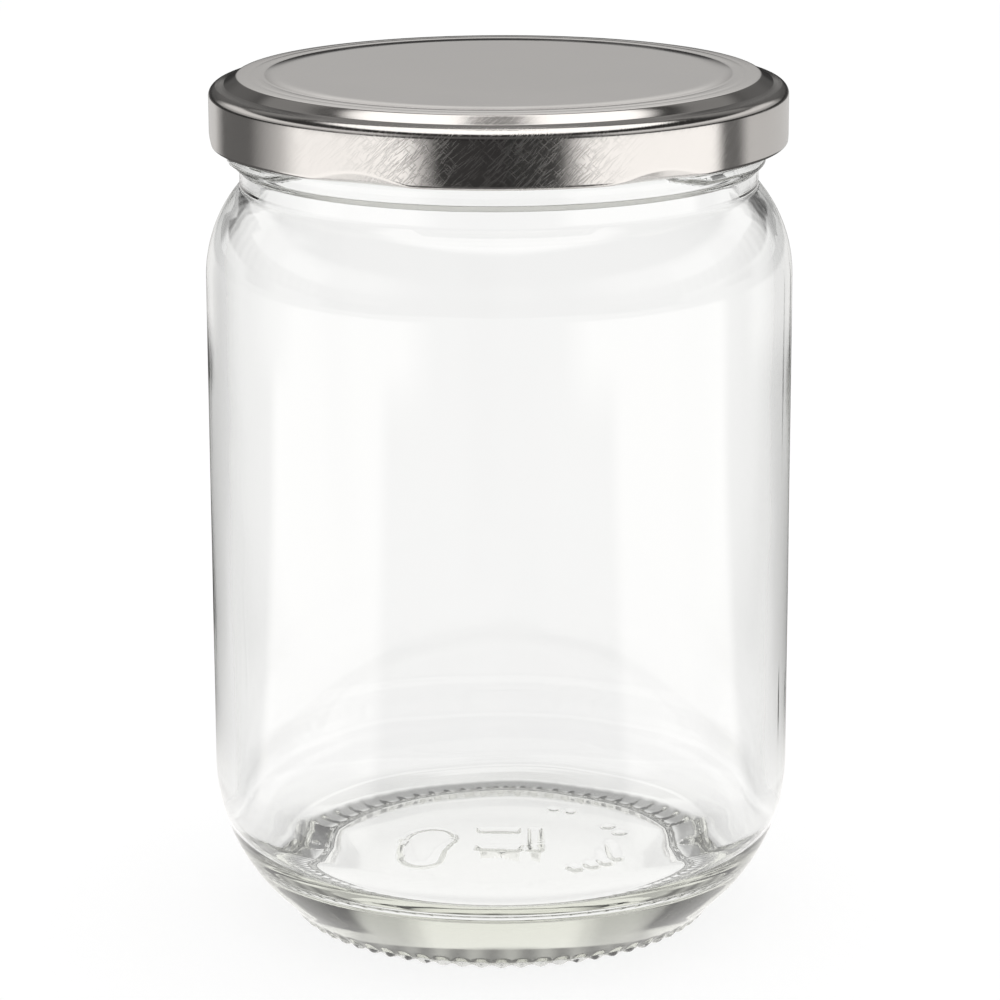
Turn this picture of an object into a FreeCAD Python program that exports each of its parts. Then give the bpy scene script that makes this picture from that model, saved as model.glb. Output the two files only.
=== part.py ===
"""A twist-off glass jar with its tinplate lid screwed on, in millimetres.

+Z is up. The origin is the middle of the circle that the jar stands on. Two
sub-parts: the jar, one piece of glass, and the lid, one pressed sheet of
tinplate whose underside rests on the jar's rim.
"""
import FreeCAD, Part
import os
import Sketcher
from FreeCAD import Placement, Rotation, Vector

doc = FreeCAD.newDocument("TwistOffJar")

# ---------------------------------------------------------------- sizes
# Each row: alias, value or formula, what it is.
SIZES = [
    ("jar_height", "128.96", "floor to the rim of the glass"),
    ("body_radius", "43.92", "outside of the body"),
    ("wall", "2.9", "glass thickness of body and shoulder"),
    # foot and heel
    ("foot_inset", "12.14", "body radius less the outer corner of the foot land"),
    ("foot_width", "2.6", "width of the foot land"),
    ("foot_round", "0.9", "rounding of the land's inner corner"),
    ("foot_turn", "2.0", "rounding between the land and the heel"),
    ("foot_rise", "1.5", "height of the step from the land up to the underside"),
    ("foot_slope", "1.1", "how far that step leans inwards"),
    ("push_up", "2.2", "height of the underside at the middle"),
    ("heel_radius", "27", "rounding between the body and the heel"),
    # knurls on the foot
    ("knurl_count", "68", "bars round the foot"),
    ("knurl_height", "0.45", "how far a bar stands out of the land"),
    ("knurl_width", "1.5", "width of a bar"),
    ("knurl_reach", "1.9", "how far a bar climbs the heel"),
    ("knurl_round", "0.7", "rounding of a bar's ends"),
    ("knurl_root", "0.8", "how deep a bar is rooted in the glass"),
    # inside
    ("floor_height", "10.6", "inside floor at the middle"),
    ("floor_fall", "0.4", "how much lower the floor is at the wall"),
    ("floor_round", "7.5", "rounding between floor and wall"),
    # shoulder and neck
    ("shoulder_radius", "20.5", "rounding of the shoulder"),
    ("neck_radius", "38.65", "outside of the neck"),
    ("neck_wall", "2.95", "glass thickness of the neck"),
    ("neck_gap", "2.66", "bare neck between the shoulder and the bead's underside"),
    ("rim_round", "1.1", "rounding of the rim's two edges"),
    ("throat_round", "3", "rounding between the mouth and the shoulder inside"),
    # bead, pads, stops and threads
    ("bead_gap", "0.44", "room between the lid's lower edge and the bead"),
    ("bead_height", "2.3", "height of the bead"),
    ("bead_proud", "1.05", "how far the bead stands out of the neck"),
    ("bead_under", "0.9", "height of the bead's sloping underside"),
    ("bead_round", "0.4", "rounding of the bead's edges"),
    ("thread_proud", "2.55", "how far threads, pads and stops stand out of the neck"),
    ("thread_sink", "0.4", "how deep they are rooted in the neck"),
    ("thread_thick", "2.0", "height of a thread"),
    ("thread_sweep", "44", "degrees that a thread runs round the neck"),
    ("thread_lead", "12.5", "rise of a thread in a full turn"),
    ("thread_crest", "0.8", "height of a thread's flat crest"),
    ("pad_lift", "0.6", "bead's lower edge up to a pad's"),
    ("pad_sweep", "41", "degrees that a pad runs round the neck"),
    ("pad_lag", "84", "degrees from the first lug's middle to the first pad's middle"),
    ("pad_count", "3", "pads round the neck"),
    ("pad_round", "0.7", "rounding of a pad's edges"),
    ("stop_lift", "0.3", "lid's lower edge up to a stop's"),
    ("stop_sweep", "4", "degrees that a stop takes"),
    ("stop_gap", "1", "degrees left between a lug and the stop beside it"),
    # lid
    ("lid_metal", "0.25", "thickness of the tinplate"),
    ("lid_depth", "9.76", "rim down to the lid's lower edge"),
    ("lid_clear", "1.55", "room between the threads and the inside of the skirt"),
    ("panel_inset", "4.1", "skirt in to the edge of the raised panel"),
    ("band_width", "4.05", "outer band of the panel, round its flat middle"),
    ("panel_droop", "0.12", "how much the panel's outer band slopes down"),
    ("panel_round", "0.7", "rounding of the panel's edge"),
    ("step_drop", "1.1", "height of the step round the panel"),
    ("step_width", "1.75", "width of the step round the panel"),
    ("step_round", "0.5", "rounding at the foot of the step"),
    ("ledge_drop", "0.6", "fall of the ledge from the step to the skirt's corner"),
    ("corner_round", "1.5", "rounding between ledge and skirt"),
    ("curl_width", "1.2", "thickness of the curl inside the skirt"),
    ("curl_height", "1.9", "height of the curl"),
    ("curl_round", "0.6", "rounding of the curl"),
    ("lug_count", "6", "lugs, threads and stops"),
    ("lug_sweep", "23", "degrees that a lug takes"),
    ("lug_reach", "1.15", "how far a lug reaches in under the thread"),
    ("lug_thick", "1.6", "height of a lug's tip"),
    ("lug_bend", "1.9", "height over which the skirt is pressed in at a lug"),
    ("lug_turn", "2.4", "degrees from the X axis to the first lug's middle"),
    ("lug_gap", "0.1", "room between a lug and the thread above it"),
    # places that follow from the values above
    ("wall_radius", "=body_radius - wall", "inside of the body"),
    ("land_outer", "=body_radius - foot_inset", "outer corner of the foot land"),
    ("land_inner", "=land_outer - foot_width", "inner corner of the foot land"),
    ("under_radius", "=land_inner - foot_slope", "edge of the underside"),
    ("under_height", "=knurl_height + foot_rise", "height of that edge"),
    ("heel_height", "=knurl_height + foot_inset", "where heel and body would meet unrounded"),
    ("knurl_outer", "=land_outer + knurl_reach", "outer end of a bar"),
    ("knurl_top", "=knurl_height + knurl_reach", "height of that end"),
    ("knurl_inner", "=land_inner + foot_round * 0.5", "inner end of a bar"),
    ("knurl_heart", "=knurl_height + knurl_root", "height of a bar's root"),
    ("knurl_angle", "=knurl_width / land_outer * 180 / pi", "degrees that a bar takes"),
    ("ground", "0", "where the bars stand"),
    ("floor_edge", "=floor_height - floor_fall", "floor where it would meet the wall"),
    ("lid_low", "=jar_height - lid_depth", "lower edge of the lid"),
    ("bead_high", "=lid_low - bead_gap", "upper edge of the bead"),
    ("bead_low", "=bead_high - bead_height", "lower edge of the bead"),
    ("bead_foot", "=bead_low - bead_under", "where its underside meets the neck"),
    ("neck_start", "=bead_foot - neck_gap", "top of the shoulder"),
    ("bore_radius", "=neck_radius - neck_wall", "inside of the mouth"),
    ("shoulder_run", "=shoulder_radius - body_radius + neck_radius", "arc centre to neck"),
    ("shoulder_start", "=neck_start - sqrt(shoulder_radius^2 - shoulder_run^2)", "top of the body"),
    ("hollow_radius", "=shoulder_radius - wall", "rounding of the shoulder inside"),
    ("hollow_run", "=shoulder_radius - body_radius + bore_radius", "arc centre to mouth"),
    ("throat_height", "=shoulder_start + sqrt(hollow_radius^2 - hollow_run^2)", "foot of the mouth"),
    ("above_rim", "=jar_height + 5", "where the cavity's cutter ends"),
    ("bead_radius", "=neck_radius + bead_proud", "outside of the bead"),
    ("bead_top", "=bead_high + bead_proud * 0.4", "where its top meets the neck"),
    ("thread_root", "=neck_radius - thread_sink", "root of threads, pads and stops"),
    ("thread_radius", "=neck_radius + thread_proud", "outside of threads, pads and stops"),
    ("pad_low", "=bead_low + pad_lift", "lower edge of a pad"),
    ("stop_low", "=lid_low + stop_lift", "lower edge of a stop"),
    ("lug_high", "=lid_low + lug_thick", "top of a lug's tip"),
    ("thread_low", "=lug_high + lug_gap", "lower edge of a thread where it starts"),
    ("thread_high", "=thread_low + thread_thick", "upper edge there"),
    ("crest_low", "=thread_low + (thread_thick - thread_crest) / 2", "lower edge of the crest"),
    ("crest_high", "=crest_low + thread_crest", "upper edge of the crest"),
    ("thread_rise", "=thread_lead * thread_sweep / 360", "rise of a thread"),
    ("thread_turns", "=thread_sweep / 360", "turns of a thread"),
    ("thread_turn", "=lug_turn - lug_sweep / 2 - stop_gap", "where a thread starts"),
    ("stop_turn", "=thread_turn - stop_sweep / 2", "middle of a stop"),
    ("pad_turn", "=lug_turn + pad_lag", "middle of a pad"),
    ("skirt_inner", "=thread_radius + lid_clear", "inside of the skirt"),
    ("skirt_radius", "=skirt_inner + lid_metal", "outside of the skirt"),
    ("lid_top", "=jar_height + lid_metal + panel_droop", "top of the lid"),
    ("panel_edge", "=skirt_radius - panel_inset", "where the raised panel ends"),
    ("panel_radius", "=panel_edge - band_width", "edge of the panel's flat middle"),
    ("edge_height", "=lid_top - panel_droop", "height of the panel's edge"),
    ("step_radius", "=panel_edge + step_width", "foot of the step"),
    ("step_height", "=edge_height - step_drop", "height of that foot"),
    ("skirt_top", "=step_height - ledge_drop", "where ledge and skirt would meet unrounded"),
    ("under_edge", "=panel_edge - lid_metal * 0.5", "inside of the panel's edge"),
    ("under_step", "=step_radius - lid_metal * 0.5", "inside of the step's foot"),
    ("under_ledge", "=step_height - lid_metal", "underside of the ledge at the step"),
    ("under_corner", "=skirt_top - lid_metal", "underside of the ledge at the skirt"),
    ("inner_round", "=corner_round - lid_metal", "inside of the skirt's corner"),
    ("curl_inner", "=skirt_inner - curl_width", "inside of the curl"),
    ("curl_high", "=lid_low + curl_height", "top of the curl"),
    ("lug_inner", "=thread_radius - lug_reach", "tip of a lug"),
    ("press_high", "=lid_low + lug_bend", "where the skirt starts to bend in"),
    ("press_low", "=lid_low - 1", "below the lid"),
    ("press_inner", "=skirt_radius - lug_bend * 0.8", "outside of a lug at its lower edge"),
    ("press_outer", "=skirt_radius + 1", "clear of the skirt"),
]

sheet = doc.addObject("Spreadsheet::Sheet", "Sizes")
for row, (alias, content, note) in enumerate(SIZES, start=1):
    sheet.set(f"A{row}", alias)
    sheet.set(f"B{row}", content)
    sheet.set(f"C{row}", note)
    sheet.setAlias(f"B{row}", alias)
doc.recompute()


def size(alias):
    """The value of one cell of the sheet."""
    return float(sheet.get(alias))


# ------------------------------------------------------- drawing helpers
def origin_part(body, role):
    """One of a body's own origin planes or axes, such as XZ_Plane."""
    return next(item for item in body.Origin.OriginFeatures if item.Role == role)


def new_body(label):
    body = doc.addObject("PartDesign::Body", label)
    body.Label = label
    body.Placement = Placement(Vector(0, 0, 0), Rotation())
    return body


def new_sketch(body, name, turn=None):
    """A sketch in the upright plane through the axis, turned about +Z by a cell's degrees."""
    sketch = body.newObject("Sketcher::SketchObject", name)
    sketch.AttachmentSupport = [(origin_part(body, "XZ_Plane"), "")]
    sketch.MapMode = "FlatFace"
    if turn:
        sketch.AttachmentOffset = Placement(Vector(0, 0, 0), Rotation(Vector(0, 1, 0), size(turn)))
        sketch.setExpression("AttachmentOffset.Rotation.Angle", f"Sizes.{turn}")
    return sketch


def bind(sketch, constraint, name, alias):
    """Add a dimension and tie it to a cell of the sheet."""
    index = sketch.addConstraint(constraint)
    sketch.renameConstraint(index, name)
    sketch.setExpression(f"Constraints.{name}", f"Sizes.{alias}")


def pin_corner(sketch, name, line, radius, height):
    """Hold the start of a line at a radius and a height; None means on the axis."""
    if radius is None:
        sketch.addConstraint(Sketcher.Constraint("PointOnObject", line, 1, -2))
    else:
        across = Sketcher.Constraint("DistanceX", -1, 1, line, 1, size(radius))
        bind(sketch, across, f"{name}_radius", radius)
    up = Sketcher.Constraint("DistanceY", -1, 1, line, 1, size(height))
    bind(sketch, up, f"{name}_height", height)


def draw_outline(sketch, corners, arcs=None, rounds=None):
    """Draw a closed outline through corners of (name, radius, height) cells.

    arcs gives, by corner name, the radius cell of the arc that runs from that
    corner to the next one; rounds gives the rounding of a corner by its name.
    """
    arcs = arcs or {}
    rounds = rounds or {}
    points = [Vector(size(r) if r else 0, size(h), 0) for _, r, h in corners]
    count = len(points)
    ends = []
    for i, (name, _, _) in enumerate(corners):
        start, stop = points[i], points[(i + 1) % count]
        if name in arcs:
            radius = size(arcs[name])
            middle = Vector(start.x - radius, start.y, 0)
            finish = FreeCAD.Vector(1, 0, 0).getAngle(stop - middle)
            arc = Part.ArcOfCircle(Part.Circle(middle, Vector(0, 0, 1), radius), 0, finish)
            sketch.addGeometry(arc, False)
        else:
            sketch.addGeometry(Part.LineSegment(start, stop), False)
        ends.append((i, 1, 2))
    for i in range(count):
        here, after = ends[i], ends[(i + 1) % count]
        sketch.addConstraint(Sketcher.Constraint("Coincident", here[0], here[2], after[0], after[1]))
    for i, (name, radius, height) in enumerate(corners):
        pin_corner(sketch, name, i, radius, height)
        if name in arcs:
            curve = Sketcher.Constraint("Radius", i, size(arcs[name]))
            bind(sketch, curve, f"{name}_arc", arcs[name])
    for name, radius in rounds.items():
        round_corner(sketch, [c[0] for c in corners].index(name), name, radius)


def round_corner(sketch, corner, name, radius):
    """Round the corner where a line starts, and tie the rounding to a cell."""
    sketch.fillet(corner, 1, size(radius), True, True)
    arc = next(i for i in reversed(range(len(sketch.Geometry)))
               if sketch.Geometry[i].TypeId == "Part::GeomArcOfCircle")
    bind(sketch, Sketcher.Constraint("Radius", arc, size(radius)), f"{name}_round", radius)


def turned(body, kind, name, sketch, angle=None):
    """Revolve a sketch about +Z: all the way, or centred on its plane by a cell's degrees."""
    feature = body.newObject(kind, name)
    feature.Profile = sketch
    feature.ReferenceAxis = (sketch, ["V_Axis"])
    feature.Angle = 360
    if angle:
        feature.Midplane = True
        feature.setExpression("Angle", f"Sizes.{angle}")
    doc.recompute()
    return feature


def repeated(body, name, features, count):
    """Repeat features evenly round +Z."""
    pattern = body.newObject("PartDesign::PolarPattern", name)
    pattern.Originals = features
    pattern.Axis = (origin_part(body, "Z_Axis"), [""])
    pattern.Angle = 360
    pattern.setExpression("Occurrences", f"Sizes.{count}")
    body.Tip = pattern
    doc.recompute()
    return pattern


def volume_check(body, name, before, grows):
    """A feature that misses the solid changes nothing, so its volume is compared."""
    change = body.Shape.Volume - before
    if (change > 0) != grows or abs(change) < 0.1:
        raise RuntimeError(f"{name} changed the volume of {body.Label} by {change:.3f} mm3")
    print(f"{body.Label}: {name} {change:+.1f} mm3, now {body.Shape.Volume:.1f} mm3")


# ------------------------------------------------------------------ jar
def build_jar():
    """The glass: one blown body with its foot, knurls, neck, bead and threads."""
    jar = new_body("jar")

    outside = new_sketch(jar, "JarOutside")
    draw_outline(
        outside,
        [
            ("underside", None, "push_up"),
            ("step", "under_radius", "under_height"),
            ("inner_land", "land_inner", "knurl_height"),
            ("outer_land", "land_outer", "knurl_height"),
            ("heel", "body_radius", "heel_height"),
            ("shoulder", "body_radius", "shoulder_start"),
            ("neck", "neck_radius", "neck_start"),
            ("bead_root", "neck_radius", "bead_foot"),
            ("bead_lip", "bead_radius", "bead_low"),
            ("bead_brow", "bead_radius", "bead_high"),
            ("bead_back", "neck_radius", "bead_top"),
            ("rim", "neck_radius", "jar_height"),
            ("middle", None, "jar_height"),
        ],
        arcs={"shoulder": "shoulder_radius"},
        rounds={
            "inner_land": "foot_round",
            "outer_land": "foot_turn",
            "heel": "heel_radius",
            "bead_lip": "bead_round",
            "bead_brow": "bead_round",
            "rim": "rim_round",
        },
    )
    turned(jar, "PartDesign::Revolution", "JarBlank", outside)

    inside = new_sketch(jar, "JarInside")
    draw_outline(
        inside,
        [
            ("floor", None, "floor_height"),
            ("corner", "wall_radius", "floor_edge"),
            ("shoulder", "wall_radius", "shoulder_start"),
            ("throat", "bore_radius", "throat_height"),
            ("mouth", "bore_radius", "above_rim"),
            ("middle", None, "above_rim"),
        ],
        arcs={"shoulder": "hollow_radius"},
        rounds={"corner": "floor_round"},
    )
    before = jar.Shape.Volume
    turned(jar, "PartDesign::Groove", "JarCavity", inside)
    volume_check(jar, "cavity", before, grows=False)
    rounded_edge(jar, "Throat", "bore_radius", "throat_height", "throat_round")
    rounded_edge(jar, "RimInnerEdge", "bore_radius", "jar_height", "rim_round")

    before = jar.Shape.Volume
    repeated(jar, "PadPattern", [make_pad(jar)], "pad_count")
    volume_check(jar, "pads", before, grows=True)

    before = jar.Shape.Volume
    repeated(jar, "FinishPattern", [make_stop(jar), make_thread(jar)], "lug_count")
    volume_check(jar, "threads and stops", before, grows=True)

    before = jar.Shape.Volume
    repeated(jar, "KnurlPattern", [make_knurl(jar)], "knurl_count")
    volume_check(jar, "knurls", before, grows=True)
    return jar


def rounded_edge(body, name, radius, height, rounding):
    """Round the circular edge at a radius and a height, all three given as cells."""
    before = body.Shape.Volume
    solid = body.Tip
    fillet = body.newObject("PartDesign::Fillet", name)
    fillet.Base = (solid, [edge_name(solid.Shape, size(radius), size(height))])
    fillet.setExpression("Radius", f"Sizes.{rounding}")
    doc.recompute()
    volume_check(body, name, before, grows=False)


def edge_name(shape, radius, height):
    """The name of the full circle round +Z with this radius and height."""
    for number, edge in enumerate(shape.Edges, start=1):
        curve = edge.Curve
        if curve.TypeId != "Part::GeomCircle":
            continue
        if abs(curve.Radius - radius) < 1e-6 and abs(curve.Center.z - height) < 1e-6:
            return f"Edge{number}"
    raise RuntimeError(f"no edge of radius {radius} at height {height}")


def make_pad(jar):
    """A thicker stretch of the bead, just under the lid."""
    sketch = new_sketch(jar, "PadSection", "pad_turn")
    draw_outline(
        sketch,
        [
            ("low", "thread_root", "pad_low"),
            ("lip", "thread_radius", "pad_low"),
            ("brow", "thread_radius", "bead_high"),
            ("high", "thread_root", "bead_high"),
        ],
        rounds={"lip": "pad_round", "brow": "pad_round"},
    )
    return turned(jar, "PartDesign::Revolution", "Pad", sketch, "pad_sweep")


def make_stop(jar):
    """The rib that a lug runs against when the lid is tight."""
    sketch = new_sketch(jar, "StopSection", "stop_turn")
    draw_outline(
        sketch,
        [
            ("low", "thread_root", "stop_low"),
            ("lip", "thread_radius", "stop_low"),
            ("brow", "thread_radius", "thread_high"),
            ("high", "thread_root", "thread_high"),
        ],
        rounds={"lip": "pad_round", "brow": "pad_round"},
    )
    return turned(jar, "PartDesign::Revolution", "Stop", sketch, "stop_sweep")


def make_thread(jar):
    """One thread: a ridge that climbs away from its stop, over the lug below it."""
    sketch = new_sketch(jar, "ThreadSection", "thread_turn")
    draw_outline(
        sketch,
        [
            ("root_low", "thread_root", "thread_low"),
            ("crest_low", "thread_radius", "crest_low"),
            ("crest_high", "thread_radius", "crest_high"),
            ("root_high", "thread_root", "thread_high"),
        ],
    )
    thread = jar.newObject("PartDesign::AdditiveHelix", "Thread")
    thread.Profile = sketch
    thread.ReferenceAxis = (sketch, ["V_Axis"])
    thread.Mode = "height-turns-angle"
    thread.setExpression("Height", "Sizes.thread_rise")
    thread.setExpression("Turns", "Sizes.thread_turns")
    doc.recompute()
    return thread


def make_knurl(jar):
    """One of the bars that the jar stands on."""
    sketch = new_sketch(jar, "KnurlSection")
    draw_outline(
        sketch,
        [
            ("heart_in", "knurl_inner", "knurl_heart"),
            ("inner", "knurl_inner", "ground"),
            ("outer", "land_outer", "ground"),
            ("tip", "knurl_outer", "knurl_top"),
            ("heart_out", "land_outer", "knurl_heart"),
        ],
        rounds={"inner": "knurl_round", "outer": "knurl_round"},
    )
    return turned(jar, "PartDesign::Revolution", "Knurl", sketch, "knurl_angle")


# ------------------------------------------------------------------ lid
def build_lid():
    """The lid: tinplate pressed to a stepped cap, with a curled edge and lugs."""
    lid = new_body("lid")

    outside = new_sketch(lid, "LidOutside")
    draw_outline(
        outside,
        [
            ("bottom", None, "lid_low"),
            ("hem", "skirt_radius", "lid_low"),
            ("corner", "skirt_radius", "skirt_top"),
            ("step_foot", "step_radius", "step_height"),
            ("edge", "panel_edge", "edge_height"),
            ("panel", "panel_radius", "lid_top"),
            ("middle", None, "lid_top"),
        ],
        rounds={
            "hem": "curl_round",
            "corner": "corner_round",
            "step_foot": "step_round",
            "edge": "panel_round",
        },
    )
    turned(lid, "PartDesign::Revolution", "LidBlank", outside)

    inside = new_sketch(lid, "LidInside")
    draw_outline(
        inside,
        [
            ("bottom", None, "lid_low"),
            ("hem", "skirt_inner", "lid_low"),
            ("corner", "skirt_inner", "under_corner"),
            ("step_foot", "under_step", "under_ledge"),
            ("edge", "under_edge", "jar_height"),
            ("middle", None, "jar_height"),
        ],
        rounds={"corner": "inner_round"},
    )
    before = lid.Shape.Volume
    turned(lid, "PartDesign::Groove", "LidHollow", inside)
    volume_check(lid, "hollow", before, grows=False)

    curl = new_sketch(lid, "CurlSection")
    draw_outline(
        curl,
        [
            ("inner", "curl_inner", "lid_low"),
            ("outer", "skirt_radius", "lid_low"),
            ("back", "skirt_radius", "curl_high"),
            ("top", "curl_inner", "curl_high"),
        ],
        rounds={"inner": "curl_round", "outer": "curl_round", "top": "curl_round"},
    )
    before = lid.Shape.Volume
    turned(lid, "PartDesign::Revolution", "Curl", curl)
    volume_check(lid, "curl", before, grows=True)

    before = lid.Shape.Volume
    repeated(lid, "LugPattern", [make_lug(lid)], "lug_count")
    volume_check(lid, "lugs", before, grows=True)

    before = lid.Shape.Volume
    repeated(lid, "PressPattern", [make_press(lid)], "lug_count")
    volume_check(lid, "presses", before, grows=False)
    return lid


def make_lug(lid):
    """A lug: the curl pushed in under a thread."""
    sketch = new_sketch(lid, "LugSection", "lug_turn")
    draw_outline(
        sketch,
        [
            ("tip_low", "lug_inner", "lid_low"),
            ("skirt_low", "skirt_inner", "lid_low"),
            ("skirt_high", "skirt_inner", "lug_high"),
            ("tip_high", "lug_inner", "lug_high"),
        ],
        rounds={"tip_low": "curl_round", "tip_high": "curl_round"},
    )
    return turned(lid, "PartDesign::Revolution", "Lug", sketch, "lug_sweep")


def make_press(lid):
    """The slope outside a lug, where the press has bent the skirt inwards."""
    sketch = new_sketch(lid, "PressSection", "lug_turn")
    draw_outline(
        sketch,
        [
            ("low", "press_inner", "lid_low"),
            ("under", "press_inner", "press_low"),
            ("clear_low", "press_outer", "press_low"),
            ("clear_high", "press_outer", "press_high"),
            ("bend", "skirt_radius", "press_high"),
        ],
    )
    return turned(lid, "PartDesign::Groove", "Press", sketch, "lug_sweep")


# --------------------------------------------------------------- output
def check_document():
    """Stop on any object that failed without raising."""
    for item in doc.Objects:
        if "Invalid" in item.State or "Error" in item.State:
            raise RuntimeError(f"{item.Name} is {item.State}")


def write_parts(bodies):
    """Check each sub-part's shape and write it to parts/LABEL.step."""
    os.makedirs("parts", exist_ok=True)
    for body in bodies:
        shape = body.Shape
        if shape.isNull() or not shape.isValid() or len(shape.Solids) != 1:
            raise RuntimeError(f"{body.Label} is not one valid solid")
    for body in bodies:
        box = body.Shape.optimalBoundingBox(False, False)
        print(f"{body.Label}: {box.XLength:.2f} mm across, from {box.ZMin:.2f} to {box.ZMax:.2f} mm, "
              f"{body.Shape.Volume / 1000:.2f} cm3")
        body.Shape.exportStep(f"parts/{body.Label}.step")


BODIES = [build_jar(), build_lid()]
doc.recompute()
check_document()
write_parts(BODIES)
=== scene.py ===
# %% [markdown]
# # A twist-off glass jar
# The object is an empty preserving jar of clear glass with a plain tinplate lid screwed on.
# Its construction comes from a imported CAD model, which is loaded first and never moved.
# Two pieces are then built round it with a finer surface than a CAD mesh carries: the glass,
# with its knurled foot, bead and threads, and the lid, with its pressed steps and lugs.

# %% Load the frame
import math

import bmesh
import bpy
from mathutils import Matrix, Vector, noise


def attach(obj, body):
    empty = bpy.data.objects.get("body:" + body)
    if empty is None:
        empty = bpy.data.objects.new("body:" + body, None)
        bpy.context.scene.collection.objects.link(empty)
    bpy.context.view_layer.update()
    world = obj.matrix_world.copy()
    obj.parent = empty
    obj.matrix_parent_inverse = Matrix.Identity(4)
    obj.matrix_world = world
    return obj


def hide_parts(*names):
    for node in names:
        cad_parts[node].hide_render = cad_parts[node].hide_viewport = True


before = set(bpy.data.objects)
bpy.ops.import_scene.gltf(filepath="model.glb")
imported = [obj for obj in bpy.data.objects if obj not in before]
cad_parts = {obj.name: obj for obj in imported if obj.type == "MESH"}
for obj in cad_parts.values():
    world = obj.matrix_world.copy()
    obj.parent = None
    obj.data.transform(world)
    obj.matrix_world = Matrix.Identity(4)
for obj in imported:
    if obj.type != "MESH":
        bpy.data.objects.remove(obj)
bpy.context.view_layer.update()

MM = 0.001
scene = bpy.context.scene

# %% [markdown]
# ## The camera
# The jar is seen from a little above, from far enough away that its sides look parallel.
# A long lens at a real distance gives that, where an orthographic camera would lose the
# slight narrowing towards the foot. The camera rolls by a fraction of a degree, as a tripod
# levelled by hand does.

# %% Camera
CAMERA_DISTANCE = 0.600
CAMERA_HEIGHT = 0.2210
CAMERA_PITCH = math.radians(14.685)
CAMERA_ROLL = math.radians(-0.2)
LENS = 146.7

camera_data = bpy.data.cameras.new("camera")
camera_data.lens = LENS
camera_data.sensor_width = 36
camera_data.clip_start = 0.01
camera = bpy.data.objects.new("camera", camera_data)
camera.location = (0, -CAMERA_DISTANCE, CAMERA_HEIGHT)
camera.rotation_euler = (math.pi / 2 - CAMERA_PITCH, 0, 0)
camera.rotation_euler.rotate_axis("Z", CAMERA_ROLL)
scene.collection.objects.link(camera)
scene.camera = camera
scene.view_settings.view_transform = "Standard"

# %% [markdown]
# ## A pen for profiles
# Blown glass and pressed lids are round, so half of a section says nearly everything about
# them. A section could be typed in as a long list of points, but then no radius could be
# changed later. Instead a pen draws it: a straight run extrudes the last vertex, and an arc
# spins it about the arc's middle. The finished line is then spun about the upright axis.

# %% Pen
class Pen:
    """Draws an open line in the XZ plane, in millimetres of radius and height."""

    def __init__(self, radius, height):
        self.mesh = bmesh.new()
        made = bmesh.ops.create_vert(self.mesh, co=(radius, 0, height))
        self.tip = made["vert"][0]

    def place(self):
        return Vector((self.tip.co.x, self.tip.co.z))

    def run(self, radius, height, spacing=4.0):
        """Go straight to a point, with a vertex at least every so many millimetres."""
        start, stop = self.place(), Vector((radius, height))
        count = max(1, math.ceil((stop - start).length / spacing - 1e-6))
        for step in range(1, count + 1):
            made = bmesh.ops.extrude_vert_indiv(self.mesh, verts=[self.tip])
            self.tip = made["verts"][0]
            spot = start.lerp(stop, step / count)
            self.tip.co = (spot.x, 0, spot.y)

    def arc(self, radius, height, turn, spacing=0.5):
        """Turn about a middle; a positive turn, in radians, is anticlockwise."""
        length = abs(turn) * (self.place() - Vector((radius, height))).length
        made = bmesh.ops.spin(self.mesh, geom=[self.tip], cent=(radius, 0, height),
                              axis=(0, -1, 0), angle=turn,
                              steps=max(3, math.ceil(length / spacing)))
        self.tip = next(v for v in made["geom_last"] if isinstance(v, bmesh.types.BMVert))

    def follow(self, corners, spacing=4.0, arc_spacing=0.3):
        """Run through corners of (radius, height, rounding), rounding each but the last."""
        spots = [Vector(corner[:2]) for corner in corners]
        for number, (radius, height, rounding) in enumerate(corners):
            if number == len(corners) - 1 or not rounding:
                self.run(radius, height, spacing)
                continue
            here = spots[number]
            back = (self.place() - here).normalized()
            ahead = (spots[number + 1] - here).normalized()
            half = math.acos(back.dot(ahead)) / 2
            start = here + back * (rounding / math.tan(half))
            middle = here + (back + ahead).normalized() * (rounding / math.sin(half))
            side = back.y * ahead.x - back.x * ahead.y
            self.run(start.x, start.y, spacing)
            self.arc(middle.x, middle.y, math.copysign(math.pi - 2 * half, side), arc_spacing)


# %% [markdown]
# ## Turning a line into a surface
# The full spin closes on itself, and a line that ends on the axis leaves a stack of vertices
# there, so doubles are merged. Only then are the normals made to point outwards.

# %% Spin and finish
def turned(pen, steps):
    """Spin the pen's line about the upright axis and close its seam and poles."""
    mesh = pen.mesh
    line = list(mesh.verts) + list(mesh.edges)
    bmesh.ops.spin(mesh, geom=line, cent=(0, 0, 0), axis=(0, 0, 1), angle=2 * math.pi,
                   steps=steps, use_merge=True)
    bmesh.ops.remove_doubles(mesh, verts=mesh.verts, dist=0.0005)
    return mesh


def finished(mesh, name):
    """Turn a bmesh in millimetres into a smooth object at the origin, in metres."""
    bmesh.ops.scale(mesh, vec=(MM, MM, MM), verts=mesh.verts)
    bmesh.ops.recalc_face_normals(mesh, faces=mesh.faces)
    for face in mesh.faces:
        face.smooth = True
    data = bpy.data.meshes.new(name)
    mesh.to_mesh(data)
    mesh.free()
    piece = bpy.data.objects.new(name, data)
    scene.collection.objects.link(piece)
    triangles = sum(len(polygon.vertices) - 2 for polygon in data.polygons)
    open_edges = len(data.edges) * 2 - sum(len(polygon.vertices) for polygon in data.polygons)
    print(f"{name}: {len(data.vertices)} vertices, {triangles} triangles, {open_edges} open edges")
    return piece


# %% [markdown]
# ## Soft steps
# Moulded glass and pressed metal have no knife edges. What stands out of the round surface
# is moved out by a mask that rises and falls along an S-shaped step, so each vertex of the
# spun surface is moved once, and the surface stays whole.

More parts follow.
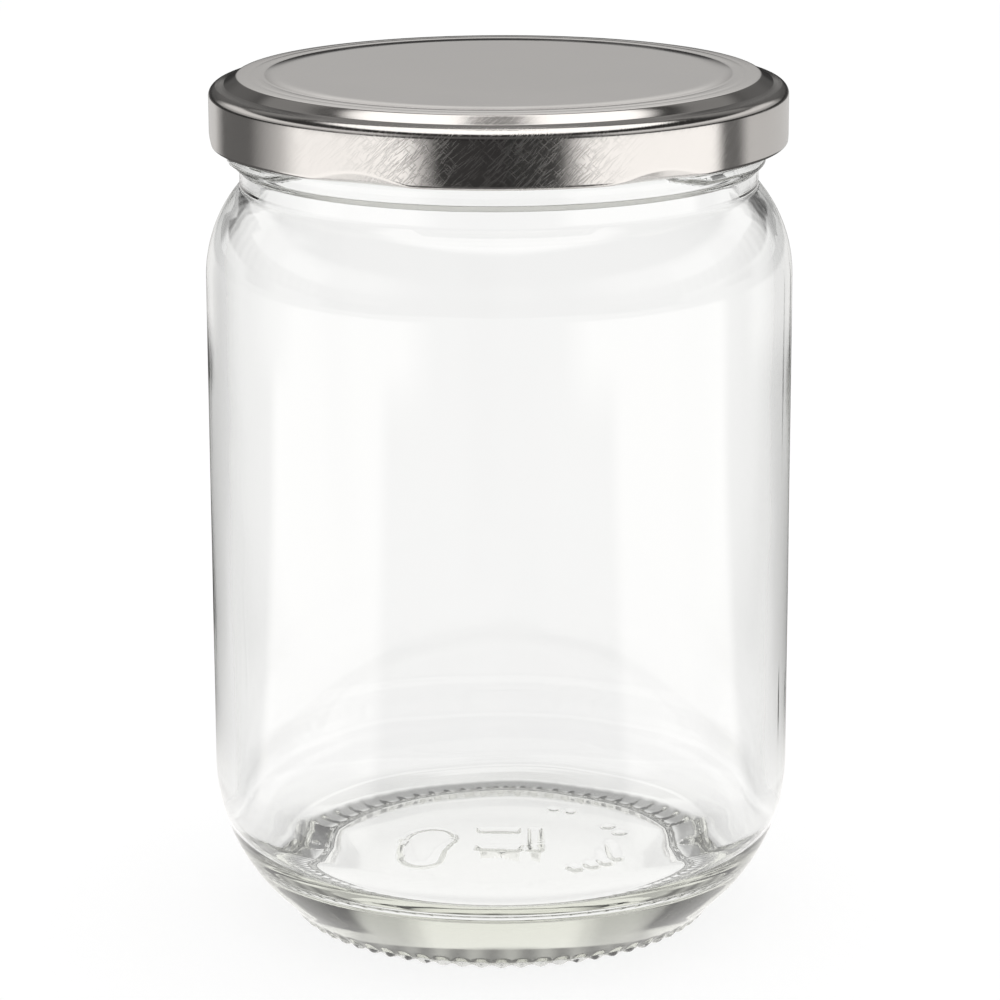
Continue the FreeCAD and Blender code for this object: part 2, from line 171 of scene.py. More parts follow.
# %% Masks
def step_up(x):
    """An S-shaped step from 0 at 0 to 1 at 1."""
    x = max(0.0, min(1.0, x))
    return x * x * (3 - 2 * x)


def mask(x, low, high, soft):
    """1 between low and high, with an S-shaped rise and fall this wide at each end."""
    return step_up((x - low) / soft + 0.5) * step_up((high - x) / soft + 0.5)


def off_middle(angle, middle, period):
    """How far an angle is from the nearest of evenly spaced middles."""
    return (angle - middle + period / 2) % period - period / 2


def polar(co):
    """Radius and angle in degrees, from the X axis, of a place."""
    return math.hypot(co.x, co.y), math.degrees(math.atan2(co.y, co.x))


# %% [markdown]
# ## The sizes of the glass
# These repeat the CAD model's own sizes, in millimetres, because its source isn't read here.

# %% Sizes of the glass
JAR_HEIGHT = 128.96
BODY = 43.92
WALL = 2.9
LAND_OUTER = 31.78
LAND_INNER = 29.18
LAND_HEIGHT = 0.45
UNDER_RADIUS = 28.08
UNDER_HEIGHT = 1.95
PUSH_UP = 2.2
FOOT_TURN = 2.0
FOOT_ROUND = 0.9
HEEL_ROUND = 27.0
SHOULDER_ROUND = 20.5
SHOULDER_START = 99.18
NECK = 38.65
NECK_FILLET = 0.8
BORE = 35.7
THROAT_ROUND = 3.0
FLOOR_MIDDLE = 10.6
FLOOR_EDGE = 10.2
FLOOR_ROUND = 7.5
RIM_ROUND = 1.1
BEAD = 39.70
BEAD_FOOT = 115.56
BEAD_LOW = 116.46
BEAD_HIGH = 118.76
BEAD_TOP = 119.18
BEAD_ROUND = 0.4

# %% [markdown]
# ## The glass, outside
# A jar is blown inside a split mould, so its outside is crisp and its inside is soft. The
# outside line starts under the middle, climbs over the ring that the jar stands on, round
# the heel and the shoulder, and ends at the rim. It gets six columns of faces for each bar
# of the foot, so that a bar's flanks are real geometry.

# %% Outside line
KNURLS = 68
OUTSIDE_STEPS = KNURLS * 6
RIM_OUTER = 37.3
RIM_INNER = 36.9
SHOULDER_MIDDLE = BODY - SHOULDER_ROUND
MARKS_REACH = 21.5


def shoulder_lean(side, radius, fillet):
    """Angle of the shoulder's arc where a fillet leads it into an upright wall."""
    return math.acos((side + fillet - SHOULDER_MIDDLE) / (radius + fillet))


def outside_line():
    crown = (UNDER_RADIUS ** 2 / (PUSH_UP - UNDER_HEIGHT) + PUSH_UP - UNDER_HEIGHT) / 2
    pen = Pen(0, PUSH_UP)
    middle = math.asin(MARKS_REACH / crown)
    pen.arc(0, PUSH_UP - crown, -middle, 0.4)
    pen.arc(0, PUSH_UP - crown, middle - math.asin((UNDER_RADIUS - 1.2) / crown), 1.2)
    heel = BODY - LAND_OUTER
    pen.follow([
        (UNDER_RADIUS, UNDER_HEIGHT, 0.8),
        (LAND_INNER, LAND_HEIGHT, FOOT_ROUND),
        (LAND_OUTER, LAND_HEIGHT, FOOT_TURN),
        (LAND_OUTER + 2.4, LAND_HEIGHT + 2.4, 0),
    ], 0.4, 0.25)
    pen.follow([
        (BODY, LAND_HEIGHT + heel, HEEL_ROUND),
        (BODY, SHOULDER_START, 0),
    ], 5.0, 1.1)
    lean = shoulder_lean(NECK, SHOULDER_ROUND, NECK_FILLET)
    pen.arc(SHOULDER_MIDDLE, SHOULDER_START, lean, 0.9)
    rise = (SHOULDER_ROUND + NECK_FILLET) * math.sin(lean)
    pen.arc(NECK + NECK_FILLET, SHOULDER_START + rise, -lean, 0.2)
    pen.follow([
        (NECK, BEAD_FOOT, 0.3),
        (BEAD, BEAD_LOW, BEAD_ROUND),
        (BEAD, BEAD_HIGH, BEAD_ROUND),
        (NECK, BEAD_TOP, 0),
    ], 0.28, 0.2)
    pen.follow([
        (NECK, JAR_HEIGHT, RIM_ROUND),
        (RIM_OUTER, JAR_HEIGHT, 0),
    ], 0.6, 0.45)
    print("outside line:", len(pen.mesh.verts), "vertices")
    return pen


outside = turned(outside_line(), OUTSIDE_STEPS)

# %% [markdown]
# ## The bars of the foot
# The ring that a jar stands on is knurled, so that the hot glass touches the belt at few
# places and so that the foot doesn't crack. Sixty-eight copies of a bar could be joined to
# the glass, but a joint inside clear glass shows as a dark line. So the ring itself is
# pushed out, straight down on the land and outwards on the heel.

# %% Knurls
KNURL_WIDTH = 1.5
KNURL_SOFT = 1.4
KNURL_INNER, KNURL_FADE = 29.63, 0.7   # where the bars begin, and how softly
KNURL_OUTER = 33.68
KNURL_TURN, KNURL_TURN_WIDTH = 30.9, 1.6   # where the bars turn from the land to the heel
HEEL_LEAN = math.radians(45)
FOOT_TOP = 3


def knurl(vert):
    radius, angle = polar(vert.co)
    if vert.co.z > FOOT_TOP or not LAND_INNER < radius < KNURL_OUTER:
        return
    across = math.radians(off_middle(angle, 0, 360 / KNURLS)) * LAND_OUTER
    inner = step_up((radius - KNURL_INNER) / KNURL_FADE + 0.5)
    outer = min(1, (KNURL_OUTER - radius) / (KNURL_OUTER - LAND_OUTER))
    height = LAND_HEIGHT * mask(across, -KNURL_WIDTH / 2, KNURL_WIDTH / 2, KNURL_SOFT)
    height *= inner * outer
    lean = HEEL_LEAN * step_up((radius - KNURL_TURN) / KNURL_TURN_WIDTH)
    vert.co.z -= height * math.cos(lean)
    outwards = Vector((vert.co.x, vert.co.y, 0)).normalized()
    vert.co += outwards * height * math.sin(lean)


for vert in outside.verts:
    knurl(vert)

# %% [markdown]
# ## Threads, stops and pads
# Six short threads climb round the neck, and a lug of the lid slides under each one until it
# meets a stop. Just under the lid, three pads thicken the bead, each with pointed ends. All of
# them are part of the same glass, so they too are pushed out of the neck.

# %% Finish of the neck
LUGS = 6
LUG_STEP = 360 / LUGS
LUG_MIDDLE = 2.4
LUG_SWEEP = 23.0
PAD_MIDDLE, PAD_STEP, PAD_SWEEP, PAD_LOW = 86.4, 120, 41.0, 117.06
PAD_END, PAD_POINT, PAD_POINT_RISE = 2.0, 14, 1.5   # degrees, degrees and millimetres
STOP_MIDDLE, STOP_SWEEP, STOP_LOW, STOP_HIGH = -12.1, 4.0, 119.5, 122.9
THREAD = 41.20
THREAD_START, THREAD_SWEEP = -10.1, 44.0
THREAD_LOW, THREAD_THICK, THREAD_CREST, THREAD_RISE = 120.9, 2.0, 0.8, 1.53


def finish_reach(angle, height):
    """How far out the glass of the neck reaches at an angle and a height, at least."""
    inset = PAD_SWEEP / 2 - abs(off_middle(angle, PAD_MIDDLE, PAD_STEP))
    pad = step_up(inset / PAD_END)
    pad_low = PAD_LOW + 0.2 + PAD_POINT_RISE * (1 - step_up(inset / PAD_POINT))
    pad *= mask(height, pad_low, BEAD_HIGH + 0.3, 0.6)
    stop = mask(off_middle(angle, STOP_MIDDLE, LUG_STEP), -STOP_SWEEP / 2, STOP_SWEEP / 2, 1.5)
    stop *= mask(height, STOP_LOW + 0.2, STOP_HIGH, 0.8)
    along = off_middle(angle, THREAD_START + THREAD_SWEEP / 2, LUG_STEP) / THREAD_SWEEP + 0.5
    middle = THREAD_LOW + THREAD_THICK / 2 + THREAD_RISE * along
    flank = (THREAD_THICK - THREAD_CREST) / 2
    thread = step_up((THREAD_THICK / 2 - abs(height - middle)) / flank)
    thread *= mask(along, 0, 1, 0.05)
    return NECK + (THREAD - NECK) * max(pad, stop, thread)


for vert in outside.verts:
    if BEAD_LOW < vert.co.z < JAR_HEIGHT - RIM_ROUND:
        radius, angle = polar(vert.co)
        reach = max(radius, finish_reach(angle, vert.co.z))
        vert.co.x *= reach / radius
        vert.co.y *= reach / radius

# %% [markdown]
# ## Marks under the base
# Moulds leave small raised marks on the underside. Here they are only plain shapes: a ring,
# three short bars and a few dots, such as any mould may carry.

# %% Base marks
MARK_HEIGHT, MARK_FLANK = 0.3, 0.4
RING_PLACE, RING_RADIUS, RING_HALF = (-11.2, 5.0), 4.0, 0.3
BARS = [(-0.3, 8.0, 3.1, 0.9), (-0.3, 1.2, 3.1, 0.4), (5.2, 5.0, 0.9, 4.0)]
DOT_RADIUS = 0.75
DOTS = [Vector(place) for place in
        ((11.0, -0.4), (13.5, 0.8), (15.5, 2.2), (17.2, 4.0), (18.6, 7.8), (16.9, 10.4),
         (8.4, 18.0), (11.2, 17.0))]


def mark_height(x, y):
    """How far the marks stand out of the underside at a place."""
    ring = abs(math.hypot(x - RING_PLACE[0], y - RING_PLACE[1]) - RING_RADIUS)
    height = step_up((RING_HALF - ring) / MARK_FLANK + 0.5)
    for middle_x, middle_y, half_width, half_depth in BARS:
        edge = max(abs(x - middle_x) - half_width, abs(y - middle_y) - half_depth)
        height = max(height, step_up(-edge / MARK_FLANK + 0.5))
    for dot in DOTS:
        away = (Vector((x, y)) - dot).length
        height = max(height, step_up((DOT_RADIUS - away) / 0.6 + 0.5))
    return MARK_HEIGHT * height


for vert in outside.verts:
    if vert.co.z < PUSH_UP + 0.1 and math.hypot(vert.co.x, vert.co.y) < MARKS_REACH:
        vert.co.z -= mark_height(vert.co.x, vert.co.y)

# %% [markdown]
# ## The glass, inside
# Air blew the inside, so nothing there is sharp and the wall is never quite even. That
# unevenness is what makes clear glass look like glass, because it bends what is seen through
# it. A modifier with a texture could do it, but a little smooth noise along the normals
# keeps the amount in millimetres.

# %% Inside line
INSIDE_STEPS = OUTSIDE_STEPS // 2


def inside_line():
    hollow = SHOULDER_ROUND - WALL
    lean = shoulder_lean(BORE, hollow, THROAT_ROUND)
    rise = (hollow + THROAT_ROUND) * math.sin(lean)
    pen = Pen(RIM_INNER, JAR_HEIGHT)
    pen.follow([
        (BORE, JAR_HEIGHT, RIM_ROUND),
        (BORE, SHOULDER_START + rise, 0),
    ], 2.5, 0.45)
    pen.arc(BORE + THROAT_ROUND, SHOULDER_START + rise, lean, 0.4)
    pen.arc(SHOULDER_MIDDLE, SHOULDER_START, -lean, 1.0)
    pen.follow([
        (BODY - WALL, FLOOR_EDGE, FLOOR_ROUND),
        (0, FLOOR_MIDDLE, 0),
    ], 2.5, 1.2)
    print("inside line:", len(pen.mesh.verts), "vertices")
    return pen


inside = turned(inside_line(), INSIDE_STEPS)

# %% Uneven wall
WAVES = ((24.0, 0.16), (9.0, 0.03))   # length and height of each swell, in millimetres
CALM, CALM_HEIGHT = 0.12, 12   # the floor is flatter than the wall, which begins above it
SKIN, SKIN_LENGTH = 0.06, 14.0
SKIN_LOW = 4
SEAM_PLACE = -10.0


def swell(co, waves):
    """A smooth unevenness between -1 and 1 times the heights of the waves."""
    return sum(high * noise.noise(co / long) for long, high in waves)


inside.normal_update()
for vert in inside.verts:
    if vert.co.z < SHOULDER_START + 10:
        calm = CALM + (1 - CALM) * step_up((vert.co.z - FLOOR_MIDDLE - 1) / CALM_HEIGHT)
        vert.co += vert.normal * swell(vert.co, WAVES) * calm
for vert in outside.verts:
    if SKIN_LOW < vert.co.z < BEAD_FOOT:
        radius, angle = polar(vert.co)
        seam = mask(off_middle(angle, SEAM_PLACE, 180), -0.4, 0.4, 0.5)
        outwards = Vector((vert.co.x, vert.co.y, 0)) / radius
        unevenness = 0.5 + 0.5 * noise.noise(vert.co / SKIN_LENGTH)
        vert.co -= outwards * SKIN * unevenness * (1 - seam)

# %% Join both sides of the glass at the rim
inside_data = bpy.data.meshes.new("inside")
inside.to_mesh(inside_data)
inside.free()
outside.from_mesh(inside_data)
bpy.data.meshes.remove(inside_data)
rims = [edge for edge in outside.edges if edge.is_boundary]
bmesh.ops.bridge_loops(outside, edges=rims)
glass_jar = finished(outside, "glass_jar")

# %% [markdown]
# ## The lid
# A twist-off lid is pressed from one thin sheet: a flat panel, a step down to a ledge, the
# skirt, and an edge that is curled inwards. Its line goes out over the top, round the curl
# and back underneath, so that one spin makes a sheet of real thickness.

# %% Lid line
LID_TOP = 129.33
LID_LOW = 119.20
METAL = 0.25
PANEL = 34.85
PANEL_BAND = 36.86
PANEL_EDGE = 38.9
EDGE_HEIGHT = 129.21
STEP_FOOT, STEP_HEIGHT = 40.65, 128.11
SKIRT, SKIRT_TOP = 43.0, 127.51
CURL_INNER, CURL_TOP, CURL_ROUND = 41.55, 121.1, 0.6
CORNER_ROUND = 1.5
LID_STEPS = 480


def lid_line():
    pen = Pen(0, LID_TOP)
    pen.follow([
        (PANEL - 0.3, LID_TOP, 0),
        (PANEL - 0.05, LID_TOP - 0.08, 0),
        (PANEL + 0.4, LID_TOP - 0.01, 0),
        (PANEL_BAND - 0.2, LID_TOP - 0.02, 0),
        (PANEL_BAND, LID_TOP - 0.055, 0),
        (PANEL_BAND + 0.2, LID_TOP - 0.03, 0),
    ], 3.0)
    pen.follow([
        (PANEL_EDGE, EDGE_HEIGHT, 0.7),
        (STEP_FOOT, STEP_HEIGHT, 0.5),
        (SKIRT, SKIRT_TOP, CORNER_ROUND),
        (SKIRT, CURL_TOP + 1, 0),
    ], 0.8, 0.12)
    pen.follow([
        (SKIRT, LID_LOW, CURL_ROUND),
        (CURL_INNER, LID_LOW, CURL_ROUND),
        (CURL_INNER, CURL_TOP, CURL_ROUND),
        (SKIRT - METAL, CURL_TOP, 0),
    ], 0.2, 0.12)
    pen.follow([
        (SKIRT - METAL, SKIRT_TOP - METAL, CORNER_ROUND - METAL),
        (STEP_FOOT - METAL / 2, STEP_HEIGHT - METAL, 0),
        (PANEL_EDGE - METAL / 2, JAR_HEIGHT, 0),
        (0, JAR_HEIGHT, 0),
    ], 3.0, 0.4)
    print("lid line:", len(pen.mesh.verts), "vertices")
    return pen


lid = turned(lid_line(), LID_STEPS)

# %% [markdown]
# ## Lugs
# At six places the press pushes the curled edge inwards, so that it catches under a thread.
# Outside, each lug shows as a slanting dimple whose upper edge rises and falls in a wave.

# %% Lugs
LUG_BEND = 1.9
LUG_SLOPE = 0.8
BEND_SOFT = 0.2
LUG_ENDS = 3            # degrees by which the dimple is wider than the lug
WAVE_SHARPNESS = 1.3


def press_in(vert):
    radius, angle = polar(vert.co)
    if radius < CURL_INNER - 0.1 or vert.co.z > CURL_TOP + 0.1:
        return
    across = off_middle(angle, LUG_MIDDLE, LUG_STEP) / (LUG_SWEEP + LUG_ENDS)
    if abs(across) > 0.5:
        return
    wave = math.cos(math.pi * across) ** WAVE_SHARPNESS
    below = LID_LOW + LUG_BEND * wave - vert.co.z
    if below <= 0:
        return
    inwards = below ** 2 / (2 * BEND_SOFT) if below < BEND_SOFT else below - BEND_SOFT / 2
    inwards *= LUG_SLOPE
    vert.co.x *= 1 - inwards / radius
    vert.co.y *= 1 - inwards / radius


for vert in lid.verts:
    press_in(vert)
tin_lid = finished(lid, "tin_lid")

# %% [markdown]
# ## Shader sums
# A pattern is easier to read as a line of algebra than as a chain of boxes. One small class
# wraps a socket, so that an expression on it adds the Math nodes, and one method makes every
# other node.

# %% Shader helpers
class Value:
    """A number that varies over a surface; sums on it add Math nodes."""

    def __init__(self, graph, socket):
        self.graph = graph
        self.socket = socket

    def math(self, operation, *others):
        names = dict(enumerate((self,) + others))
        return self.graph.add("ShaderNodeMath", {"operation": operation}, names)

    def __add__(self, other):
        return self.math("ADD", other)

    def __sub__(self, other):
        return self.math("SUBTRACT", other)

    def __rsub__(self, other):
        return self.graph.add("ShaderNodeMath", {"operation": "SUBTRACT"}, {0: other, 1: self})

    def __mul__(self, other):
        return self.math("MULTIPLY", other)

    def __truediv__(self, other):
        return self.math("DIVIDE", other)

    __radd__ = __add__
    __rmul__ = __mul__


class Graph:
    """A node tree that is built from empty."""

    def __init__(self, owner):
        owner.use_nodes = True
        self.tree = owner.node_tree
        self.tree.nodes.clear()

    def add(self, kind, settings=None, inputs=None, out=0):
        """Add a node: its settings first, then the values or links of its sockets."""
        node = self.tree.nodes.new(kind)
        for name, setting in (settings or {}).items():
            setattr(node, name, setting)
        for name, value in (inputs or {}).items():
            if isinstance(value, Value):
                self.tree.links.new(value.socket, node.inputs[name])
            else:
                node.inputs[name].default_value = value
        return Value(self, node.outputs[out]) if node.outputs else node

    def axes(self, vector):
        """The X, Y and Z of a vector."""
        first = self.add("ShaderNodeSeparateXYZ", {}, {0: vector})
        return tuple(Value(self, socket) for socket in first.socket.node.outputs)

    def rays(self):
        """Whether a ray is the camera's, a mirrored one or one that glass let through."""
        node = self.add("ShaderNodeLightPath").socket.node
        return tuple(Value(self, node.outputs[f"Is {kind} Ray"])
                     for kind in ("Camera", "Glossy", "Transmission"))

    def smooth(self, value, low, high):
        """An S-shaped step from 0 at low to 1 at high."""
        return self.add("ShaderNodeMapRange", {"interpolation_type": "SMOOTHSTEP"},
                        {"Value": value, "From Min": low, "From Max": high})

    def levels(self, value, low, high, stops):
        """A brightness for each value between low and high, straight between the stops."""
        place = (value - low) / (high - low)
        node = self.add("ShaderNodeValToRGB", {}, {"Fac": place})
        elements = node.socket.node.color_ramp.elements
        elements.remove(elements[1])
        elements[0].position = (stops[0][0] - low) / (high - low)
        elements[0].color = grey(stops[0][1])
        for spot, level in stops[1:]:
            elements.new((spot - low) / (high - low)).color = grey(level)
        return node

    def blend(self, amount, first, second):
        """From the first colour to the second."""
        return self.add("ShaderNodeMix", {"data_type": "RGBA"},
                        {"Factor": amount, 6: first, 7: second}, out=2)


def grey(level):
    return (level, level, level, 1)


def band(graph, value, low, high, soft):
    """1 between low and high, with soft ends."""
    rise = graph.smooth(value, low - soft / 2, low + soft / 2)
    return rise * (1.0 - graph.smooth(value, high - soft / 2, high + soft / 2))


# %% [markdown]
# ## Clear glass
# Clear glass has no colour of its own, only a faint olive where light runs through a lot of
# it. So the surface stays clear and the inside of the glass absorbs a little. Lamps would
# throw a black shadow through such a surface, because their light can't be bent on its way,
# so shadow rays meet a clear stand-in instead.

# %% Glass material
GLASS_TINT = (0.58, 0.60, 0.40, 1)
GLASS_DENSITY = 7.0
GLASS_SHADOW = (0.90, 0.91, 0.90, 1)


def make_glass():
    material = bpy.data.materials.new("clear_glass")
    graph = Graph(material)
    glass = graph.add("ShaderNodeBsdfPrincipled", {}, {
        "Base Color": (1, 1, 1, 1), "Roughness": 0.0, "IOR": 1.52, "Transmission Weight": 1.0})
    clear = graph.add("ShaderNodeBsdfTransparent", {}, {"Color": GLASS_SHADOW})
    shadow = graph.add("ShaderNodeLightPath", out=1)
    surface = graph.add("ShaderNodeMixShader", {}, {0: shadow, 1: glass, 2: clear})
    inside = graph.add("ShaderNodeVolumeAbsorption", {},
                       {"Color": GLASS_TINT, "Density": GLASS_DENSITY})
    graph.add("ShaderNodeOutputMaterial", {}, {"Surface": surface, "Volume": inside})
    return material


glass_jar.data.materials.append(make_glass())

# %% [markdown]
# ## Tinplate
# Tinplate is steel with a skin of tin. It mirrors soft lights with blurred edges, and every
# lid that has met another one carries fine scratches in all directions. Each layer of
# scratches is a noise stretched along one direction; they lie in the sheet, so the skirt
# measures its layers round the lid and the panel measures them across it.

# %% Tinplate material
def scratches(graph, along, across, turn, scale, keep):
    """Fine lines in one direction: 1 on a line, 0 beside it."""
    cos, sin = math.cos(turn), math.sin(turn)
    first = (along * cos + across * sin) * (scale * 0.07)
    second = (across * cos - along * sin) * scale
    place = graph.add("ShaderNodeCombineXYZ", {}, {0: first, 1: second, 2: turn * 7})
    lines = graph.add("ShaderNodeTexNoise", {}, {"Vector": place, "Scale": 1.0, "Detail": 0.0})
    return graph.smooth(lines, keep, keep + 0.1)


def make_tinplate():
    material = bpy.data.materials.new("tinplate")
    graph = Graph(material)
    where = graph.add("ShaderNodeTexCoord", out=3)
    x, y, z = graph.axes(where)
    top = graph.smooth(z, (STEP_HEIGHT - 0.3) * MM, (STEP_HEIGHT - 0.1) * MM)
    turn = x.math("ARCTAN2", y * -1.0)
    round_it = turn * (SKIRT * MM)
    along = round_it + (x - round_it) * top
    across = z + (y - z) * top
    scratches_and_glints = scratches(graph, along, across, 0.80, 5200.0, 0.60)
    for lean, keep in ((0.65, 0.64), (-0.75, 0.66), (0.95, 0.66)):
        scratches_and_glints = scratches_and_glints.math("MAXIMUM", scratches(graph, along, across, lean, 6400.0, keep))
    # Most scratches, with their painted highlight, lie in a band at the front.
    front_band = band(graph, turn, math.radians(-26), math.radians(20), 0.35)
    scratches_and_glints = scratches_and_glints * (0.25 + 0.75 * front_band) * (1.0 - 0.8 * top)
    away = (x * x + y * y).math("SQRT") / MM
    ticks = (turn * 170).math("SINE") * band(graph, away, PANEL_BAND + 0.4, PANEL_EDGE - 0.2, 0.4)
    patches = graph.add("ShaderNodeTexNoise", {}, {"Vector": where, "Scale": 60.0})
    worn = graph.smooth(patches, 0.42, 0.6)
    # The scratches are real wear, but their lighter colour is a painted highlight for the light
    # they catch.
    color = graph.blend(scratches_and_glints * 0.15, (0.63, 0.61, 0.592, 1), (0.85, 0.83, 0.80, 1))
    roughness = 0.10 + worn * 0.05 + scratches_and_glints * 0.14
    normal = graph.add("ShaderNodeBump", {}, {
        "Height": scratches_and_glints + ticks * 0.3, "Strength": 0.3, "Distance": 0.000012})
    metal = graph.add("ShaderNodeBsdfPrincipled", {}, {
        "Base Color": color, "Metallic": 1.0, "Roughness": roughness, "Normal": normal})
    graph.add("ShaderNodeOutputMaterial", {}, {"Surface": metal})
    return material


# %% Inside lacquer
def make_lacquer():
    material = bpy.data.materials.new("lacquer")
    graph = Graph(material)
    where = graph.add("ShaderNodeTexCoord", out=3)
    cloud = graph.add("ShaderNodeTexNoise", {}, {"Vector": where, "Scale": 90.0})
    color = graph.blend(cloud, (0.74, 0.73, 0.70, 1), (0.82, 0.81, 0.78, 1))
    lacquer = graph.add("ShaderNodeBsdfPrincipled", {}, {"Base Color": color, "Roughness": 0.4})
    graph.add("ShaderNodeOutputMaterial", {}, {"Surface": lacquer})
    return material


tin_lid.data.materials.append(make_tinplate())
tin_lid.data.materials.append(make_lacquer())
for polygon in tin_lid.data.polygons:
    middle = polygon.center
    outwards = Vector((middle.x, middle.y, 0)).normalized()
    turned_in = polygon.normal.dot(outwards) < -0.3 or polygon.normal.z < -0.3
    if turned_in and middle.z > (CURL_TOP + 0.05) * MM:
        polygon.material_index = 1

# %% [markdown]
# ## The table and the studio
# Glass and metal show little but their surroundings. The camera sees a white table and a
# white room, whose brightness is set on the surfaces themselves. What the glass and the
# metal reflect and refract is a studio: light pools on the table, a dark place where the
# camera stands, grey cards beside the white, and a soft box overhead.

# %% Studio by direction
BOX_GLOW = 1.5


def around(x, y):
    """Degrees round from the front, positive to the right, -180 to 180."""
    return x.math("ARCTAN2", y * -1.0) * (180 / math.pi)


def metal_studio(graph, azimuth):
    """Brightness of what the lid mirrors, by the direction round the object."""
    return graph.levels(azimuth, -180, 180, [
        (-180, 0.12), (-172, 0.12), (-167, 0.66), (-148, 0.75), (-136, 0.16), (-112, 0.16),
        (-92, 0.75), (-82, BOX_GLOW), (-36, BOX_GLOW), (-23, 0.05), (0, 0.035), (23, 0.05),
        (34, BOX_GLOW), (91, BOX_GLOW), (97, 0.18), (106, 0.20), (113, 0.74), (167, 0.66),
        (172, 0.12), (180, 0.12)])


def glass_studio(graph, azimuth):
    """Brightness of what the glass mirrors: two narrower boxes."""
    side = azimuth.math("ABSOLUTE")
    return 0.12 + 1.4 * band(graph, side, 43, 94, 7)


def warm(graph, level):
    """A brightness up to 2 as the slightly warm light of the studio's boxes."""
    return graph.blend(level * 0.5, grey(0), (2.0, 1.97, 1.935, 1))


def cards(graph, azimuth):
    """Grey cards beside the white, seen through the edges of the glass."""
    eighth = (azimuth * (math.pi / 180 * 8)).math("COSINE")
    return 0.55 + 0.45 * graph.smooth(eighth, -0.85, 0.1)


# %% Table
TABLE_SIZE = 6.0
TABLE_GLOW = 0.82
TABLE_COLOR = 0.22
NEAR_GLOW = 1.15
THROUGH = 0.98


def make_table_material():
    material = bpy.data.materials.new("table")
    graph = Graph(material)
    where = graph.add("ShaderNodeTexCoord", out=3)
    x, y, z = graph.axes(where)
    away = (x * x + y * y).math("SQRT") / MM
    azimuth = around(x, y)
    near = 1.0 - graph.smooth(away, 60, 130)        # what the lugs and the foot mirror
    far = graph.smooth(away, 380, 470)              # what only the lid's skirt mirrors
    shiny = glass_studio(graph, azimuth)
    shiny = shiny + (metal_studio(graph, azimuth) - shiny) * far
    shiny = shiny * (1.0 - 0.85 * graph.smooth(away, 950, 1500))
    mirrored = shiny + (NEAR_GLOW - shiny) * near
    # Seen through glass, the table carries painted shade in places and a painted contact shadow
    # under the foot.
    shade_dips = band(graph, azimuth.math("ABSOLUTE"), 131, 155, 14)
    shade_dips = shade_dips + band(graph, azimuth, 0, 16, 10) + band(graph, azimuth, 74, 90, 10)
    beyond = graph.smooth(away, 110, 170)
    # Painted contact shadow: a dark ring on the table where the foot stands.
    painted_contact_shadow = band(graph, away, 30.5, 33.8, 2)
    through = THROUGH * (1.0 - 0.15 * shade_dips * beyond) * (1.0 - 0.7 * painted_contact_shadow)
    camera_ray, glossy, transmitted = graph.rays()
    glow = graph.blend(glossy, grey(TABLE_GLOW), warm(graph, mirrored))
    glow = graph.blend(transmitted, glow, through)
    color = graph.blend(camera_ray, grey(0.0), grey(TABLE_COLOR))
    table = graph.add("ShaderNodeBsdfPrincipled", {}, {
        "Base Color": color, "Roughness": 1.0, "Specular IOR Level": 0.0,
        "Emission Color": glow, "Emission Strength": 1.0})
    graph.add("ShaderNodeOutputMaterial", {}, {"Surface": table})
    return material


table_mesh = bmesh.new()
bmesh.ops.create_grid(table_mesh, x_segments=1, y_segments=1, size=TABLE_SIZE / 2)
table_data = bpy.data.meshes.new("table")
table_mesh.to_mesh(table_data)
table_mesh.free()
table = bpy.data.objects.new("table", table_data)
table.data.materials.append(make_table_material())
scene.collection.objects.link(table)

# %% [markdown]
# ## The room
# The world stands for the room. Metal mirrors a soft box overhead with a dark opening in it,
# grey walls that are darkest behind the camera, and a faint strip high at the back. Glass lets
# through the white of the back, broken by grey cards, by a dark strip low down, a painted shade
# that shows in the heel as the shade round the foot, and by a dark patch. Cards could be real
# planes, but levels in the world cast no shadows and don't enter the picture.

# %% Room
BOX_REACH, BOX_SOFT_REACH = 0.55, 0.64
HOLE_PLACE, HOLE_REACH, HOLE_SOFT_REACH = 0.3, 0.05, 0.12
OVERHEAD_MIRRORED, OVERHEAD_THROUGH = 1.7, 0.8


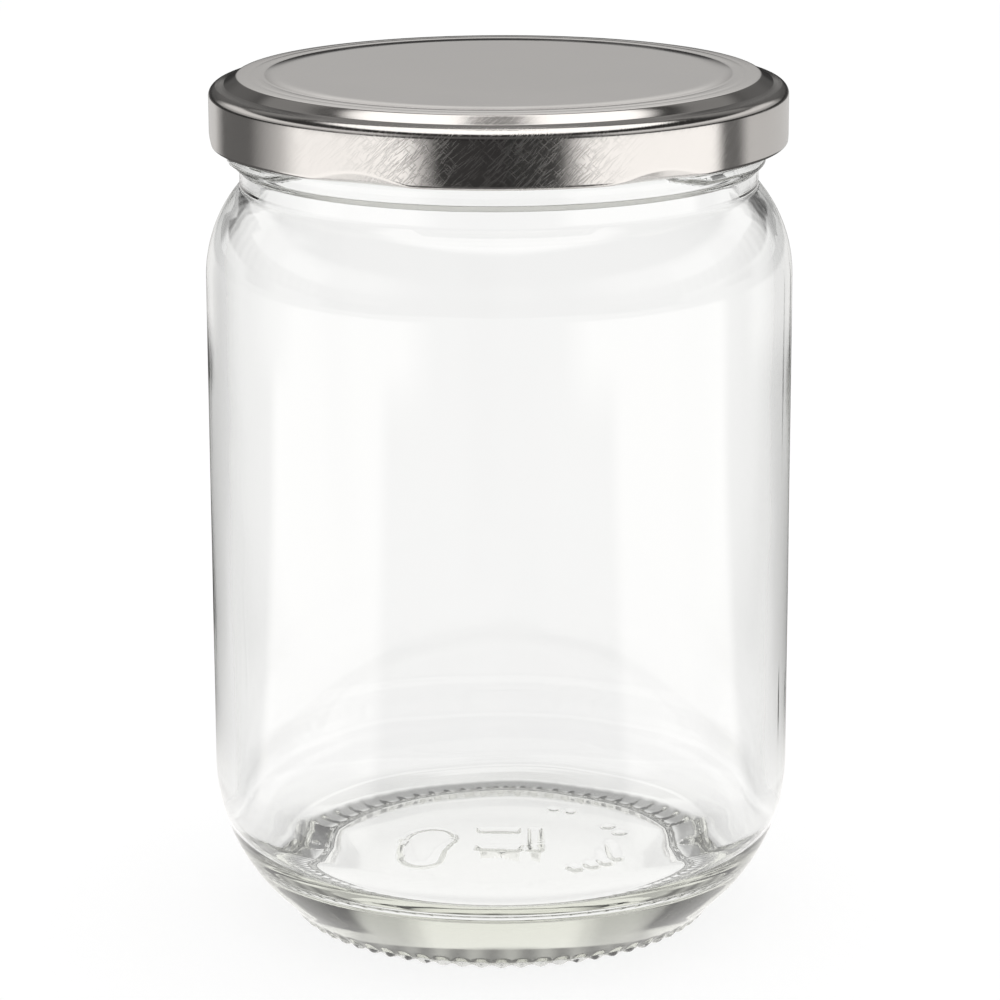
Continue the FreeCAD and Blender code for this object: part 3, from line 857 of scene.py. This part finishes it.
def make_room():
    world = bpy.data.worlds.new("room")
    graph = Graph(world)
    direction = graph.add("ShaderNodeTexCoord", out=0)
    x, y, z = graph.axes(direction)
    azimuth = around(x, y)
    side = azimuth.math("ABSOLUTE")
    box = 1.0 - graph.smooth((x * x + y * y).math("SQRT"), BOX_REACH, BOX_SOFT_REACH)
    back = y - HOLE_PLACE
    off_hole = (x * x + back * back).math("SQRT")
    overhead = box * (1.0 - 0.95 * (1.0 - graph.smooth(off_hole, HOLE_REACH, HOLE_SOFT_REACH)))
    wall = graph.levels(side, 0, 180, [
        (0, 0.05), (30, 0.05), (50, 0.5), (142, 0.5), (150, 0.06), (170, 0.07), (175, 0.5)])
    wall = wall * band(graph, z, 0.08, 0.46, 0.08) * (0.95 + 0.7 * graph.smooth(z, 0.16, 0.30))
    high = band(graph, z, 0.50, 0.72, 0.08) * graph.smooth(side, 110, 150) * 0.24
    mirrored = 0.04 + wall + high + overhead * OVERHEAD_MIRRORED
    low = 1.0 - graph.smooth(z, 0.36, 0.50)
    behind = graph.smooth(side, 50, 80)
    through = cards(graph, azimuth) * (0.04 + 0.96 * low) * (0.25 + 0.75 * behind)
    # Painted shade: a dark strip low in the room, which shows in the heel as the shade round the
    # foot.
    painted_shade_strip = band(graph, z, 0.06, 0.235, 0.03) * (0.85 + 0.15 * (azimuth * 1.1).math("SINE"))
    patch = band(graph, z, 0.40, 0.56, 0.05) * band(graph, azimuth, 136, 172, 8)
    through = THROUGH * through * (1.0 - 0.85 * painted_shade_strip) * (1.0 - 0.9 * patch)
    through = through + overhead * OVERHEAD_THROUGH
    camera_ray, glossy, transmitted = graph.rays()
    light = graph.blend(glossy, grey(0.75), warm(graph, mirrored))
    light = graph.blend(transmitted, light, through)
    light = graph.blend(camera_ray, light, grey(1.0))
    background = graph.add("ShaderNodeBackground", {}, {"Color": light, "Strength": 1.0})
    graph.add("ShaderNodeOutputWorld", {}, {"Surface": background})
    scene.world = world


make_room()

# %% [markdown]
# ## Lamps
# One broad lamp overhead gives the soft shadow round the foot. It is kept plain, so that a
# colour renders about as it is written.

# %% Lamps
def soft_lamp(name, place, aim, size, power):
    lamp_data = bpy.data.lights.new(name, "AREA")
    lamp_data.shape = "DISK"
    lamp_data.size = size
    lamp_data.energy = power
    lamp = bpy.data.objects.new(name, lamp_data)
    lamp.location = place
    lamp.rotation_euler = (Vector(aim) - Vector(place)).to_track_quat("-Z", "Y").to_euler()
    lamp.visible_glossy = False
    lamp.visible_transmission = False
    scene.collection.objects.link(lamp)


soft_lamp("lamp_top", (0.1, 0.1, 1.3), (0, 0, 0), 0.9, 4)

# %% [markdown]
# ## The pieces on the body
# Each piece rides on the one body, and the CAD node that it stands for is hidden.

# %% Ride, and hide the CAD nodes
for piece, node, slot in ((glass_jar, "jar", "glass"), (tin_lid, "lid", "tinplate")):
    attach(piece, "root")
    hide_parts(node)

scene.cycles.max_bounces = 16
scene.cycles.transmission_bounces = 16
scene.cycles.glossy_bounces = 8
